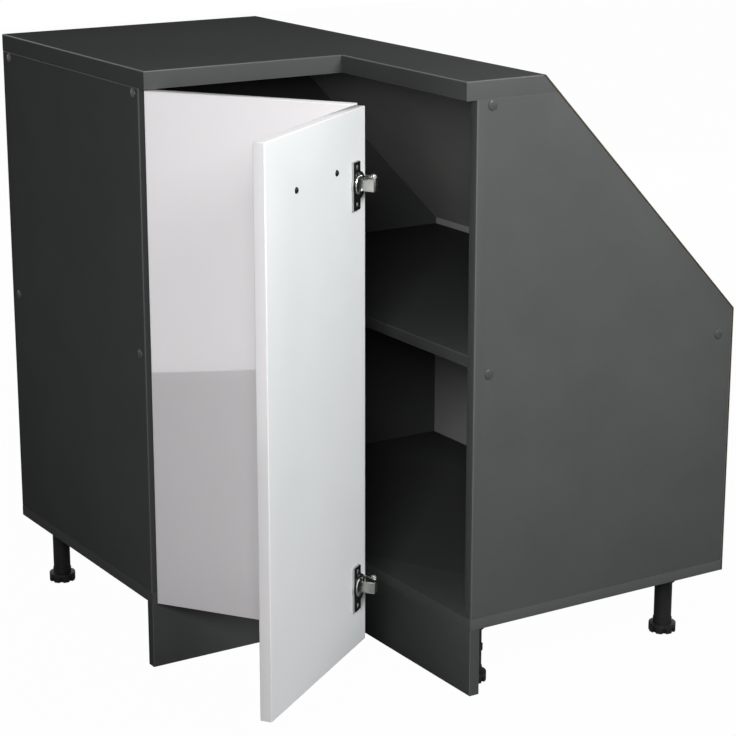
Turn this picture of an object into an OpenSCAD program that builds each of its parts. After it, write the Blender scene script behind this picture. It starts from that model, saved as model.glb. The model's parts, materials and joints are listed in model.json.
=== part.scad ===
// Corner base cabinet for a room with a sloping roof.
// L-shaped plan, two door leaves hung together as one folding corner door.
// Plan drawing frame: x = 0 at the outer face of the left side panel, y = 0 at the outer
// face of the right side panel, the room corner behind. The doors are drawn closed and
// then swung open; the whole is centred on the floor at the end.

/* [Overall] */
// Height from the floor to the top of the top board
height = 850; // [820:5:900]
// Length along each wall of the corner
wall_length = 770; // [750:5:850]
// Depth of each wing at the top board
wing_depth = 465; // [440:5:480]
// Depth that is left of the top board at the right end, above the roof slope
top_end_depth = 125; // [105:5:150]
// Height at which the roof slope meets the low right back
slope_foot_z = 493; // [490:1:560]

/* [Boards] */
// Thickness of the side panels
side_t = 16; // [15:0.5:19]
// Thickness of the rear panel
rear_t = 16; // [15:0.5:19]
// Thickness of the bottom panel
bottom_t = 16; // [15:0.5:19]
// Thickness of the shelf
shelf_t = 16; // [15:0.5:18]
// Thickness of the top board
top_t = 25; // [22:1:32]
// Thickness of the thin backs on the low right side and on the slope
back_t = 3; // [2.5:0.5:5]
// Height of the top face of the shelf
shelf_top_z = 482; // [440:1:484]
// Distance that the bottom and plinth stand behind the front edges of the top board
setback = 16; // [14:1:20]
// Width of the small bevel along board edges that show
edge_bevel = 0.8; // [0.4:0.2:1.2]

/* [Legs and plinth] */
// Height of the underside of the bottom panel
leg_h = 97; // [90:1:110]
// Thickness of the plinth boards
plinth_t = 16; // [15:0.5:19]
// Gap between plinth and floor
plinth_gap = 1; // [0.5:0.5:4]
// Diameter of the leg tubes
tube_d = 26; // [24:1:30]
// Diameter of the screwed foot stems
stem_d = 20; // [16:1:21]
// Diameter of the foot pads
foot_d = 40; // [36:1:46]
// Height of the foot pads
foot_h = 15; // [12:1:18]
// Length that a foot can be screwed out
foot_travel = 20; // [10:1:25]
// Height of the plinth clips above the floor
clip_z = 46; // [36:1:52]

/* [Doors] */
// Thickness of the door leaves
leaf_t = 16; // [16:0.5:19]
// Gap between the hinged edge of the door and the outer face of the left side
hinge_edge_gap = 2; // [1:0.5:4]
// Gap between the free edge of the door and the outer face of the right side
free_edge_gap = 6; // [4:0.5:8]
// Gap between each leaf end and the front plane of the other leaf
corner_gap = 2; // [1.5:0.5:3]
// Distance that the closed doors stand proud of the top board
door_proud = 1; // [0.5:0.5:2]
// Gap between the doors and the underside of the top board
door_top_gap = 1; // [1:0.5:4]
// Height of the lower door edges above the underside of the bottom panel
door_bottom_gap = 4.5; // [2:0.5:8]
// Angle at which the door stands open
open_angle = 55; // [0:5:90]

/* [Handle] */
// Spacing of the two handle screws
handle_spacing = 120; // [96:8:160]
// Distance of the handle's middle from the fold edge
handle_from_fold = 151; // [146:1:160]
// Distance of the handle screws below the top edge of the door
handle_drop = 71; // [50:1:110]
// Diameter of the handle bar
handle_d = 10; // [8:1:12]
// Distance that the handle stands off the leaf
handle_reach = 32; // [28:1:36]

/* [Hinges] */
// Diameter of the hinge cups
cup_d = 35; // [35:0.5:36]
// Depth of the hinge cups
cup_depth = 11.5; // [11:0.5:12]
// Distance of the upper hinges below the top edge of the door
hinge_top_inset = 97; // [80:1:110]
// Distance of the lower hinges above the bottom edge of the door
hinge_bottom_inset = 84; // [70:1:110]
// Distance of the fold hinge cups from the fold edge
fold_cup_inset = 27; // [26:0.5:30]
// Distance of the swing hinge cups from the hinged edge
swing_cup_inset = 22; // [21:0.5:24]
// Spacing of the two screws of each hinge cup
cup_screw_spacing = 48; // [45:1:50]

/* [Fittings] */
// Width and height of the connector blocks
block = 16; // [14:1:18]
// Length of the connector blocks away from their panel
block_reach = 24; // [24:1:30]
// Diameter of the screw caps
cap_d = 14; // [13:1:18]
// Diameter of the screws through the panels
panel_screw_d = 5; // [4:0.5:6]
// Diameter of the dowels
dowel_d = 8; // [6:1:10]
// Length of the dowels
dowel_len = 30; // [24:1:35]

/* [Hidden] */
$fn = 48;

// Clearances
fit = 0.05;          // round the screws, dowels and pins
play = 1;            // round the shelf
cut = 1;             // what a cutting tool reaches past a face

// Places in plan and height
notch = wall_length - wing_depth;             // front edges of the top board
front = notch + setback;                      // front edges of bottom and plinth
side_front = front + 1;                       // front edges of the side panels
shelf_front = side_front + 2;                 // front edges of the shelf
right_inner = wall_length - back_t;           // inner face of the low right back
rear_inner = wall_length - rear_t;            // inner face of the rear panel
floor_z = leg_h + bottom_t;                   // top face of the bottom panel
ceiling_z = height - top_t;                   // underside of the top board
shelf_z = shelf_top_z - shelf_t;              // underside of the shelf
top_end_x = notch + top_end_depth;            // where the slope starts on the top
slope_angle = atan2(height - slope_foot_z, wall_length - top_end_x);
slope_len = norm([height - slope_foot_z, wall_length - top_end_x]);

// Door, closed
leaf_front = notch - door_proud;              // front planes of both leaves
leaf_back = leaf_front + leaf_t;
fold_edge = leaf_front - corner_gap;          // ends of both leaves at the fold
leaf_z = leg_h + door_bottom_gap;
leaf_top = ceiling_z - door_top_gap;
leaf_h = leaf_top - leaf_z;
leaf_bevel = 1;
hinge_zs = [leaf_z + hinge_bottom_inset, leaf_top - hinge_top_inset];

// Axes of the door in plan: the swing axis lies inside the hinged edge of the left leaf,
// the fold pin in the free corner between the ends of the two leaves
swing_axis = [hinge_edge_gap + 4, leaf_front + 3];
fold_axis = [leaf_front + 0.6, leaf_front + 0.6];

function turned(p, about, a) = about + [(p.x - about.x) * cos(a) - (p.y - about.y) * sin(a),
    (p.x - about.x) * sin(a) + (p.y - about.y) * cos(a)];

// The plan is centred: its low corner is set by the bevelled corners of the open right leaf,
// or by the screw caps when the door is shut
cap_h = 2.4;
leaf_corners = [for (p = [
    [leaf_front, free_edge_gap + leaf_bevel], [leaf_front + leaf_bevel, free_edge_gap],
    [leaf_back - leaf_bevel, free_edge_gap], [leaf_back, free_edge_gap + leaf_bevel],
    [hinge_edge_gap, leaf_front + leaf_bevel], [hinge_edge_gap + leaf_bevel, leaf_front]])
    turned(p, swing_axis, -open_angle)];
low_x = min(-cap_h, min([for (p = leaf_corners) p.x]));
low_y = min(-cap_h, min([for (p = leaf_corners) p.y]));
row_centre = [(low_x + wall_length) / 2, (low_y + wall_length) / 2];

// Colours
black_board = [0.17, 0.17, 0.17];
painted_hardboard = [0.27, 0.27, 0.27];
white_board = [0.93, 0.93, 0.94];
black_plastic = [0.06, 0.06, 0.06];
grey_plastic = [0.62, 0.63, 0.62];
nickel = [0.75, 0.74, 0.71];
zinc = [0.66, 0.68, 0.7];
beech = [0.8, 0.66, 0.46];

module placed() {
    translate([-row_centre.x, -row_centre.y, 0])
        children();
}

// Turns what is drawn on the closed door to where the open door stands
module door_placed() {
    placed()
        translate([swing_axis.x, swing_axis.y, 0])
            rotate([0, 0, -open_angle])
                translate([-swing_axis.x, -swing_axis.y, 0])
                    children();
}

// Directions in which a screw points, its head towards the opposite side
to_right = [0, -90, 0];
to_left = [0, 90, 0];
to_rear = [90, 0, 0];
to_front = [-90, 0, 0];
to_top = [180, 0, 0];
to_floor = [0, 0, 0];

// Half outline of a countersunk screw, head face at height 0, point at -len
function screw_outline(len, d, head_d, grow = 0) = [
    [0, grow > 0 ? cut : 0],
    [head_d / 2 + grow, grow > 0 ? cut : 0],
    [head_d / 2 + grow, -0.5],
    [d / 2 + grow, -0.5 - (head_d - d) / 2],
    [d / 2 + grow, -len + d],
    [0, -len - grow * 4]];

module countersunk_screw(len, d, head_d) {
    difference() {
        rotate_extrude($fn = 32)
            polygon(screw_outline(len, d, head_d));
        cross_recess(head_d * 0.55, 1.6);
    }
}

module cross_recess(width, depth) {
    for (a = [0, 90])
        rotate([0, 0, a])
            translate([-width / 2, -width / 8, -depth])
                cube([width, width / 4, depth + cut]);
}

module screw_bore(len, d, head_d) {
    rotate_extrude($fn = 32)
        polygon(screw_outline(len, d, head_d, fit));
}

// Pan head screw, underside of the head at height 0
module pan_screw(len, d, head_d, head_h) {
    difference() {
        rotate_extrude($fn = 32)
            polygon([[0, head_h], [head_d * 0.28, head_h * 0.92], [head_d * 0.43, head_h * 0.62],
                [head_d / 2, head_h * 0.25], [head_d / 2, 0], [d / 2, 0], [d / 2, -len + d / 2],
                [0, -len]]);
        translate([0, 0, head_h])
            cross_recess(head_d * 0.5, head_h * 0.6);
    }
}

module plain_bore(len, d) {
    translate([0, 0, -len - 0.3])
        cylinder(d = d + 2 * fit, h = len + 0.3 + cut);
}

// Takes away all that reaches above the roof slope, or deeper than `depth` below it
module under_slope(depth = 0) {
    difference() {
        children();
        translate([top_end_x, 0, height])
            rotate([0, slope_angle, 0])
                translate([-slope_len, -wall_length, -depth])
                    cube([slope_len * 3, wall_length * 3, slope_len]);
    }
}

// A place on the slope, `along` from its top edge, with z square to the slope
module on_slope(along, y) {
    translate([top_end_x + along * cos(slope_angle), y, height - along * sin(slope_angle)])
        rotate([0, slope_angle, 0])
            children();
}

// L-shaped board in plan, its inner corner at [nx, nx]
module l_board(low, high_x, high_y, nx, t) {
    linear_extrude(t)
        polygon([[low, nx], [nx, nx], [nx, low], [high_x, low], [high_x, high_y], [low, high_y]]);
}

// A cutting prism along a straight edge, from one plan point to the other
module edge_cut(p, q, z, size) {
    run = q - p;
    translate([p.x, p.y, z])
        rotate([0, 0, atan2(run.y, run.x)])
            rotate([45, 0, 0])
                translate([-2, -size / sqrt(2), -size / sqrt(2)])
                    cube([norm(run) + 4, size * sqrt(2), size * sqrt(2)]);
}

// Upright board with small bevels along all its edges
module bevelled_board(size, b) {
    intersection() {
        linear_extrude(size.z)
            bevelled_outline([size.x, size.y], b);
        translate([0, size.y, 0])
            rotate([90, 0, 0])
                linear_extrude(size.y)
                    bevelled_outline([size.x, size.z], b);
        rotate([90, 0, 90])
            linear_extrude(size.x)
                bevelled_outline([size.y, size.z], b);
    }
}

module bevelled_outline(size, b) {
    polygon([[b, 0], [size.x - b, 0], [size.x, b], [size.x, size.y - b], [size.x - b, size.y],
        [b, size.y], [0, size.y - b], [0, b]]);
}

// Where the connector blocks stand: [plan point on the panel's inner face, direction of
// the screw from outside, height of the screw]
block_front_left = side_front + 15;
block_rear_left = rear_inner - block / 2;
block_end_gap = 24;
block_rear_x = notch + 75;
shelf_block_z = shelf_z - block / 2;
top_block_z = ceiling_z - block / 2;

function left_blocks(z) = [for (y = [block_front_left, block_rear_left]) [[side_t, y], to_right, z]];
function right_blocks(z, xs) = [for (x = xs) [[x, side_t], to_rear, z]];
function rear_blocks(z, xs) = [for (x = xs) [[x, rear_inner], to_front, z]];

top_blocks = concat(left_blocks(top_block_z), right_blocks(top_block_z, [side_front + block_end_gap]),
    rear_blocks(top_block_z, [block_rear_x]));
shelf_blocks = concat(left_blocks(shelf_block_z),
    right_blocks(shelf_block_z, [side_front + block_end_gap, right_inner - block_end_gap]),
    rear_blocks(shelf_block_z, [block_rear_x, right_inner - block_end_gap]));

// What is drawn along the screw's own axis, head at height 0, goes to each block
module at_blocks(blocks) {
    for (b = blocks) {
        depth = b[1] == to_front ? rear_t : side_t;
        translate([b[0].x, b[0].y, b[2]])
            rotate(b[1])
                translate([0, 0, depth])
                    children();
    }
}

panel_screw_len = side_t + 12;
panel_screw_head = 9;
block_screw_d = 4;
block_screw_head = 7.5;
block_screw_bite = 11;

module connector_blocks(blocks) {
    difference() {
        for (b = blocks)
            translate([b[0].x, b[0].y, b[2]])
                rotate(b[1])
                    translate([-block / 2, -block / 2, -block_reach])
                        bevelled_board([block, block, block_reach], 0.6);
        at_blocks(blocks)
            screw_bore(panel_screw_len, panel_screw_d, panel_screw_head);
        block_screw_bores(blocks);
    }
}

// Foot of the upright screw of a block
function block_screw_place(b) = let (
    reach = block_reach - 6,
    step = b[1] == to_right ? [reach, 0] : b[1] == to_rear ? [0, reach] : [0, -reach])
    [b[0].x + step.x, b[0].y + step.y, b[2] - block / 2];

module panel_screw_bores(dir) {
    at_blocks([for (b = concat(top_blocks, shelf_blocks)) if (b[1] == dir) b])
        screw_bore(panel_screw_len, panel_screw_d, panel_screw_head);
}

module block_screw_bores(blocks) {
    for (b = blocks)
        translate(block_screw_place(b))
            rotate(to_top)
                screw_bore(block + block_screw_bite, block_screw_d, block_screw_head);
}

// Screws through the bottom panel into the lower edges of the panels
bottom_screw_len = 50;
bottom_screw_places = concat(
    [for (y = [side_front + 48, (side_front + rear_inner) / 2, wall_length - 35]) [side_t / 2, y]],
    [for (x = [side_front + 88, (side_front + right_inner) / 2 + 20, right_inner - 22]) [x, side_t / 2]],
    [for (x = [130, 400, 650]) [x, wall_length - rear_t / 2]]);

module at_bottom_screws() {
    for (p = bottom_screw_places)
        translate([p.x, p.y, leg_h])
            rotate(to_top)
                children();
}

// Dowels: [middle of the joint, direction], half of the length on each side
dowels_bottom = concat(
    [for (y = [side_front + 120, rear_inner - 100]) [side_t / 2, y]],
    [for (x = [side_front + 160, right_inner - 90]) [x, side_t / 2]],
    [for (x = [60, 260, 540]) [x, wall_length - rear_t / 2]]);
dowels_top = concat(
    [for (y = [side_front + 70, rear_inner - 90]) [side_t / 2, y]],
    [[side_front + 70, side_t / 2]],
    [for (x = [80, 250]) [x, wall_length - rear_t / 2]]);
dowels_rear_z = [floor_z + 90, floor_z + 350, ceiling_z - 90];
dowel_in_board = 11;

module dowel(grow = 0) {
    b = 1;
    rotate_extrude($fn = 32)
        polygon([[0, -grow], [dowel_d / 2 - b + grow, -grow], [dowel_d / 2 + grow, b],
            [dowel_d / 2 + grow, dowel_len - b], [dowel_d / 2 - b + grow, dowel_len + grow],
            [0, dowel_len + grow]]);
}

module bottom_dowels(grow = 0) {
    for (p = dowels_bottom)
        translate([p.x, p.y, floor_z - dowel_in_board])
            dowel(grow);
}

module top_dowels(grow = 0) {
    for (p = dowels_top)
        translate([p.x, p.y, ceiling_z + dowel_in_board - dowel_len])
            dowel(grow);
}

module rear_dowels(grow = 0) {
    for (z = dowels_rear_z)
        translate([side_t - dowel_in_board, wall_length - rear_t / 2, z])
            rotate([0, 90, 0])
                dowel(grow);
}

// Small screws of the thin backs
back_screw_len = 16;
back_screw_d = 3;
back_screw_head = 6;
low_back_zs = [for (i = [0 : 3]) floor_z + 30 + i * (slope_foot_z - floor_z - 70) / 3];
slope_screw_places = [for (i = [0 : 3]) 60 + i * (slope_len - 110) / 3];
bottom_edge_ys = [for (i = [0 : 4]) 60 + i * (wall_length - 120) / 4];

module at_low_back_screws() {
    for (y = [side_t / 2, wall_length - rear_t / 2], z = low_back_zs)
        translate([wall_length, y, z])
            rotate(to_left)
                children();
    for (y = bottom_edge_ys)
        translate([wall_length, y, leg_h + bottom_t / 2])
            rotate(to_left)
                children();
}

module at_slope_screws() {
    for (y = [side_t / 2, wall_length - rear_t / 2], s = slope_screw_places)
        on_slope(s, y)
            children();
    for (y = [170, 400, 620])
        on_slope(top_t * 0.42 / sin(slope_angle), y)
            children();
}

module back_screw_bores() {
    at_low_back_screws()
        screw_bore(back_screw_len, back_screw_d, back_screw_head);
    at_slope_screws()
        screw_bore(back_screw_len, back_screw_d, back_screw_head);
}

module top_board() {
    color(black_board)
        placed()
            difference() {
                under_slope(back_t)
                    translate([0, 0, ceiling_z])
                        l_board(0, wall_length, wall_length, notch, top_t);
                for (z = [ceiling_z, height]) {
                    edge_cut([0, notch], [notch, notch], z, edge_bevel);
                    edge_cut([notch, 0], [notch, notch], z, edge_bevel);
                }
                edge_cut([0, 0], [0, wall_length], height, edge_bevel);
                edge_cut([0, 0], [wall_length, 0], height, edge_bevel);
                block_screw_bores(top_blocks);
                top_dowels(fit);
                back_screw_bores();
            }
}

module left_side_panel() {
    color(black_board)
        placed()
            difference() {
                translate([0, side_front, floor_z])
                    cube([side_t, wall_length - side_front, ceiling_z - floor_z]);
                panel_screw_bores(to_right);
                bottom_dowels(fit);
                top_dowels(fit);
                rear_dowels(fit);
                at_bottom_screws()
                    screw_bore(bottom_screw_len, panel_screw_d, panel_screw_head);
                at_swing_plate_screws()
                    plain_bore(plate_screw_len, plate_screw_d);
            }
}

module right_side_panel() {
    color(black_board)
        placed()
            difference() {
                under_slope(back_t)
                    translate([side_front, 0, floor_z])
                        cube([right_inner - side_front, side_t, ceiling_z - floor_z]);
                panel_screw_bores(to_rear);
                bottom_dowels(fit);
                top_dowels(fit);
                at_bottom_screws()
                    screw_bore(bottom_screw_len, panel_screw_d, panel_screw_head);
                back_screw_bores();
            }
}

module rear_panel() {
    color(black_board)
        placed()
            difference() {
                under_slope(back_t)
                    translate([side_t, rear_inner, floor_z])
                        cube([right_inner - side_t, rear_t, ceiling_z - floor_z]);
                panel_screw_bores(to_front);
                bottom_dowels(fit);
                top_dowels(fit);
                rear_dowels(fit);
                at_bottom_screws()
                    screw_bore(bottom_screw_len, panel_screw_d, panel_screw_head);
                back_screw_bores();
            }
}

module right_back_panel() {
    color(painted_hardboard)
        placed()
            difference() {
                under_slope(back_t)
                    translate([right_inner, 0, leg_h])
                        cube([back_t, wall_length, slope_foot_z - leg_h]);
                back_screw_bores();
            }
}

module sloped_back_panel() {
    color(painted_hardboard)
        placed()
            difference() {
                intersection() {
                    on_slope(-top_t, 0)
                        translate([0, 0, -back_t])
                            cube([slope_len + 2 * top_t, wall_length, back_t]);
                    cube([wall_length, wall_length, height]);
                }
                back_screw_bores();
            }
}

module bottom_panel() {
    color(black_board)
        placed()
            difference() {
                translate([0, 0, leg_h])
                    l_board(0, right_inner, wall_length, front, bottom_t);
                bottom_dowels(fit);
                at_bottom_screws()
                    screw_bore(bottom_screw_len, panel_screw_d, panel_screw_head);
                at_legs()
                    at_leg_screws()
                        plain_bore(leg_screw_len, leg_screw_d);
                back_screw_bores();
            }
}

module shelf() {
    color(black_board)
        placed()
            difference() {
                translate([0, 0, shelf_z])
                    linear_extrude(shelf_t)
                        polygon([[side_t + play, shelf_front], [shelf_front, shelf_front],
                            [shelf_front, side_t + play], [right_inner - play, side_t + play],
                            [right_inner - play, rear_inner - play], [side_t + play, rear_inner - play]]);
                for (z = [shelf_z, shelf_top_z]) {
                    edge_cut([0, shelf_front], [shelf_front, shelf_front], z, edge_bevel);
                    edge_cut([shelf_front, 0], [shelf_front, shelf_front], z, edge_bevel);
                }
                block_screw_bores(shelf_blocks);
            }
}

module top_connector_blocks() {
    color(black_plastic)
        placed()
            connector_blocks(top_blocks);
}

module shelf_connector_blocks() {
    color(black_plastic)
        placed()
            connector_blocks(shelf_blocks);
}

// Socket in the head of the panel screws, which also holds the caps
socket_d = 4.4;
socket_h = 2.4;

module panel_screws() {
    color(zinc)
        placed()
            at_blocks(concat(top_blocks, shelf_blocks))
                difference() {
                    rotate_extrude($fn = 32)
                        polygon(screw_outline(panel_screw_len, panel_screw_d, panel_screw_head));
                    translate([0, 0, -socket_h])
                        cylinder(d = socket_d, h = socket_h + cut, $fn = 6);
                }
}

module block_screws() {
    color(zinc)
        placed()
            for (b = concat(top_blocks, shelf_blocks))
                translate(block_screw_place(b))
                    rotate(to_top)
                        countersunk_screw(block + block_screw_bite, block_screw_d, block_screw_head);
}

// Domed cap with a spigot in the socket of the screw, on the two side panels; the rear
// panel goes against the wall and stays bare
module screw_caps() {
    rim_h = 0.7;
    spigot_r = socket_d * cos(30) / 2 - fit;
    capped = [for (b = concat(top_blocks, shelf_blocks)) if (b[1] != to_front) b];
    color(black_plastic)
        placed()
            at_blocks(capped)
                rotate_extrude($fn = 48)
                    polygon(concat(
                        [[0, -socket_h + 0.4], [spigot_r, -socket_h + 0.4], [spigot_r, 0], [cap_d / 2, 0]],
                        [for (a = [0 : 15 : 90]) [cap_d / 2 * cos(a), rim_h + (cap_h - rim_h) * sin(a)]]));
}

module dowels() {
    color(beech)
        placed() {
            bottom_dowels();
            top_dowels();
            rear_dowels();
        }
}

module bottom_screws() {
    color(zinc)
        placed()
            at_bottom_screws()
                countersunk_screw(bottom_screw_len, panel_screw_d, panel_screw_head);
}

module back_screws() {
    color(zinc)
        placed() {
            at_low_back_screws()
                countersunk_screw(back_screw_len, back_screw_d, back_screw_head);
            at_slope_screws()
                countersunk_screw(back_screw_len, back_screw_d, back_screw_head);
        }
}

// Legs: plan places, from the outer faces and the front edges of the bottom
leg_inset = 50;
leg_behind_front = 39;
corner_leg = front + 54;
leg_places = [
    [leg_inset - 11.5, wall_length - leg_inset - 6],
    [leg_inset, front + leg_behind_front],
    [corner_leg, corner_leg],
    [front + leg_behind_front, leg_inset],
    [right_inner - leg_inset - 15, leg_inset],
    [right_inner - leg_inset - 5, wall_length - leg_inset - 6]];

leg_plate_w = 2 * (leg_behind_front - plinth_t - 1);
leg_plate_t = 4;
socket_len = 15;
socket_wall = 3.5;
leg_screw_len = 12;
leg_screw_d = 3.5;
leg_screw_head = 7;
tube_gap = 5;                                 // between foot pad and tube, shows the thread
tube_top = leg_h - leg_plate_t;
leg_screw_inset = 5;

module at_legs() {
    for (p = leg_places)
        translate([p.x, p.y, 0])
            children();
}

module at_leg_screws() {
    e = leg_plate_w / 2 - leg_screw_inset;
    for (x = [-e, e], y = [-e, e])
        translate([x, y, leg_h - leg_plate_t])
            rotate(to_top)
                children();
}

module leg_plates() {
    color(black_plastic)
        placed()
            at_legs()
                difference() {
                    union() {
                        translate([0, 0, leg_h - leg_plate_t])
                            linear_extrude(leg_plate_t)
                                bevelled_square(leg_plate_w, 5);
                        translate([0, 0, tube_top - socket_len])
                            cylinder(d = tube_d + 2 * socket_wall, h = socket_len);
                        for (a = [45 : 90 : 315])
                            rotate([0, 0, a])
                                translate([tube_d / 2 + 1, -1, 0])
                                    plate_rib();
                    }
                    translate([0, 0, tube_top - socket_len - cut])
                        cylinder(d = tube_d + 2 * fit, h = socket_len + cut);
                    at_leg_screws()
                        plain_bore(leg_screw_len, leg_screw_d);
                }
}

module bevelled_square(w, b) {
    translate([-w / 2, -w / 2])
        bevelled_outline([w, w], b);
}

// Gusset from the socket to the plate, clear of the screw heads
module plate_rib() {
    rib_reach = (leg_plate_w / 2 - leg_screw_inset) * sqrt(2) - leg_screw_head / 2 - 0.8 - (tube_d / 2 + 1);
    translate([0, 2, tube_top])
        rotate([90, 0, 0])
            linear_extrude(2)
                polygon([[0, 0], [rib_reach, 0], [2, -socket_len + 2], [0, -socket_len + 2]]);
}

module leg_screws() {
    color(zinc)
        placed()
            at_legs()
                at_leg_screws()
                    pan_screw(leg_screw_len, leg_screw_d, leg_screw_head, 2.2);
}

module leg_tubes() {
    tube_z = foot_h + tube_gap;
    color(black_plastic)
        placed()
            at_legs()
                difference() {
                    rotate_extrude()
                        polygon([[0, tube_z], [tube_d / 2 - 0.8, tube_z], [tube_d / 2, tube_z + 0.8],
                            [tube_d / 2, tube_top], [0, tube_top]]);
                    translate([0, 0, tube_z - cut])
                        cylinder(d = stem_d + 2 * fit, h = leg_h - tube_z - 22);
                }
}

// Foot pad with key notches round its rim and a stem in the tube
module foot() {
    notches = 8;
    notch_w = 5;
    notch_deep = 2.5;
    rim_r = 1.5;
    color(black_plastic)
        placed()
            difference() {
                union() {
                    rotate_extrude()
                        polygon([[0, 0], [foot_d / 2 - rim_r, 0], [foot_d / 2, rim_r],
                            [foot_d / 2, foot_h - 5],
                            [foot_d / 2 - 3, foot_h - 2], [foot_d / 2 - 6, foot_h], [0, foot_h]]);
                    translate([0, 0, foot_h - cut])
                        cylinder(d = stem_d, h = foot_travel + tube_gap + cut + 15);
                }
                for (i = [0 : notches - 1])
                    rotate([0, 0, i * 360 / notches])
                        translate([foot_d / 2 - notch_deep, -notch_w / 2, foot_h - 9])
                            cube([notch_deep + cut, notch_w, 10]);
            }
}

module foot_at(i) {
    translate([leg_places[i].x, leg_places[i].y, 0])
        foot();
}

module foot_1() { foot_at(0); }
module foot_2() { foot_at(1); }
module foot_3() { foot_at(2); }
module foot_4() { foot_at(3); }
module foot_5() { foot_at(4); }
module foot_6() { foot_at(5); }

// Plinth: the left board runs past the end of the right one at the inner corner
plinth_h = leg_h - plinth_gap;
plinth_back = front + plinth_t;
plinth_screw_d = 3.5;
plinth_screw_len = 12;

module plinth_left() {
    color(black_board)
        placed()
            difference() {
                translate([0, front, plinth_gap])
                    cube([plinth_back, plinth_t, plinth_h]);
                at_plinth_screws()
                    plain_bore(plinth_screw_len, plinth_screw_d);
            }
}

module plinth_right() {
    color(black_board)
        placed()
            difference() {
                translate([front, 0, plinth_gap])
                    cube([plinth_t, front, plinth_h]);
                at_plinth_screws()
                    plain_bore(plinth_screw_len, plinth_screw_d);
            }
}

// Bracket that ties the two plinth boards behind their corner
bracket_w = 32;
bracket_h = 40;
bracket_t = 2.5;
bracket_z = 30;

module plinth_corner_bracket() {
    color(black_plastic)
        placed()
            difference() {
                translate([plinth_back, front - bracket_w, bracket_z])
                    cube([bracket_t, bracket_w + plinth_t, bracket_h]);
                at_plinth_screws()
                    plain_bore(plinth_screw_len, plinth_screw_d);
            }
}

// Spring clip round a leg, with a foot plate on the back of the plinth board
clip_h = 11;
clip_wall = 2.4;
clip_plate = 30;
clip_plate_h = 24;
clip_plate_t = 3;
clip_mouth = 52;                              // half angle of the open side

module clip() {
    reach = leg_behind_front - plinth_t;
    difference() {
        union() {
            translate([0, 0, clip_z])
                cylinder(d = tube_d + 2 * (clip_wall + fit), h = clip_h);
            translate([-reach, -clip_plate / 2, clip_z + clip_h / 2 - clip_plate_h / 2])
                cube([clip_plate_t, clip_plate, clip_plate_h]);
            translate([-reach, -4, clip_z])
                cube([reach - tube_d / 2, 8, clip_h]);
        }
        translate([0, 0, clip_z - cut])
            cylinder(d = tube_d + 2 * fit, h = clip_h + 2 * cut);
        translate([0, 0, clip_z - cut])
            linear_extrude(clip_h + 2 * cut)
                polygon([[0, 0], [tube_d * cos(clip_mouth), -tube_d * sin(clip_mouth)], [tube_d, 0],
                    [tube_d * cos(clip_mouth), tube_d * sin(clip_mouth)]]);
    }
}

module at_clips() {
    translate([leg_places[3].x, leg_places[3].y, 0])
        children();
    translate([leg_places[1].x, leg_places[1].y, 0])
        rotate([0, 0, 90])
            children();
}

module at_clip_screws() {
    for (y = [-clip_plate / 2 + 5, clip_plate / 2 - 5])
        translate([-leg_behind_front + plinth_t + clip_plate_t, y, clip_z + clip_h / 2])
            rotate(to_left)
                children();
}

module plinth_clips() {
    color(black_plastic)
        placed()
            difference() {
                at_clips()
                    clip();
                at_plinth_screws()
                    plain_bore(plinth_screw_len, plinth_screw_d);
            }
}

module at_plinth_screws() {
    at_clips()
        at_clip_screws()
            children();
    for (y = [front - bracket_w + 8, front + plinth_t / 2], z = [bracket_z + 9, bracket_z + bracket_h - 9])
        translate([plinth_back + bracket_t, y, z])
            rotate(to_left)
                children();
}

module plinth_screws() {
    color(zinc)
        placed()
            at_plinth_screws()
                pan_screw(plinth_screw_len, plinth_screw_d, 6.5, 2);
}

// Door leaves, drawn closed
cup_seat = 0.05;

module cup_bore() {
    translate([0, 0, -cup_depth - 0.2])
        cylinder(d = cup_d + 2 * cup_seat, h = cup_depth + 0.2 + cut);
}

module door_leaf_left() {
    color(white_board)
        door_placed()
            difference() {
                translate([hinge_edge_gap, leaf_front, leaf_z])
                    bevelled_board([fold_edge - hinge_edge_gap, leaf_t, leaf_h], leaf_bevel);
                at_swing_cups()
                    cup_bore();
                at_swing_cup_screws()
                    plain_bore(cup_screw_len, cup_screw_d);
                at_fold_plate_screws()
                    plain_bore(plate_screw_len, plate_screw_d);
            }
}

module door_leaf_right() {
    color(white_board)
        door_placed()
            difference() {
                translate([leaf_front, free_edge_gap, leaf_z])
                    bevelled_board([leaf_t, fold_edge - free_edge_gap, leaf_h], leaf_bevel);
                at_fold_cups()
                    cup_bore();
                at_fold_cup_screws()
                    plain_bore(cup_screw_len, cup_screw_d);
                for (y = handle_ys)
                    translate([leaf_front - cut, y, handle_z])
                        rotate([0, 90, 0])
                            cylinder(d = handle_screw_d + 2 * fit, h = leaf_t + 2 * cut);
            }
}

// Handle: a round bar bent to a flat bow, screwed from the back of the leaf
handle_screw_d = 4;
handle_z = leaf_top - handle_drop;
handle_y = fold_edge - handle_from_fold;
handle_ys = [handle_y - handle_spacing / 2, handle_y + handle_spacing / 2];
handle_bend = 14;
handle_bite = 12;

module handle() {
    r = handle_d / 2;
    post = handle_reach - r - handle_bend;
    color(nickel)
        door_placed()
            difference() {
                for (side = [0, 1])
                    translate([leaf_front, handle_ys[side], handle_z])
                        mirror([0, side, 0]) {
                            rotate([0, -90, 0])
                                cylinder(r = r, h = post);
                            translate([-post, handle_bend, 0])
                                rotate([0, 0, 180])
                                    rotate_extrude(angle = 90)
                                        translate([handle_bend, 0])
                                            circle(r = r, $fn = 32);
                            translate([-post - handle_bend, handle_bend, 0])
                                rotate([-90, 0, 0])
                                    cylinder(r = r, h = handle_spacing / 2 - handle_bend);
                        }
                for (y = handle_ys)
                    translate([leaf_front - handle_bite, y, handle_z])
                        rotate([0, 90, 0])
                            cylinder(d = handle_screw_d + 2 * fit, h = handle_bite + cut);
            }
}

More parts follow.
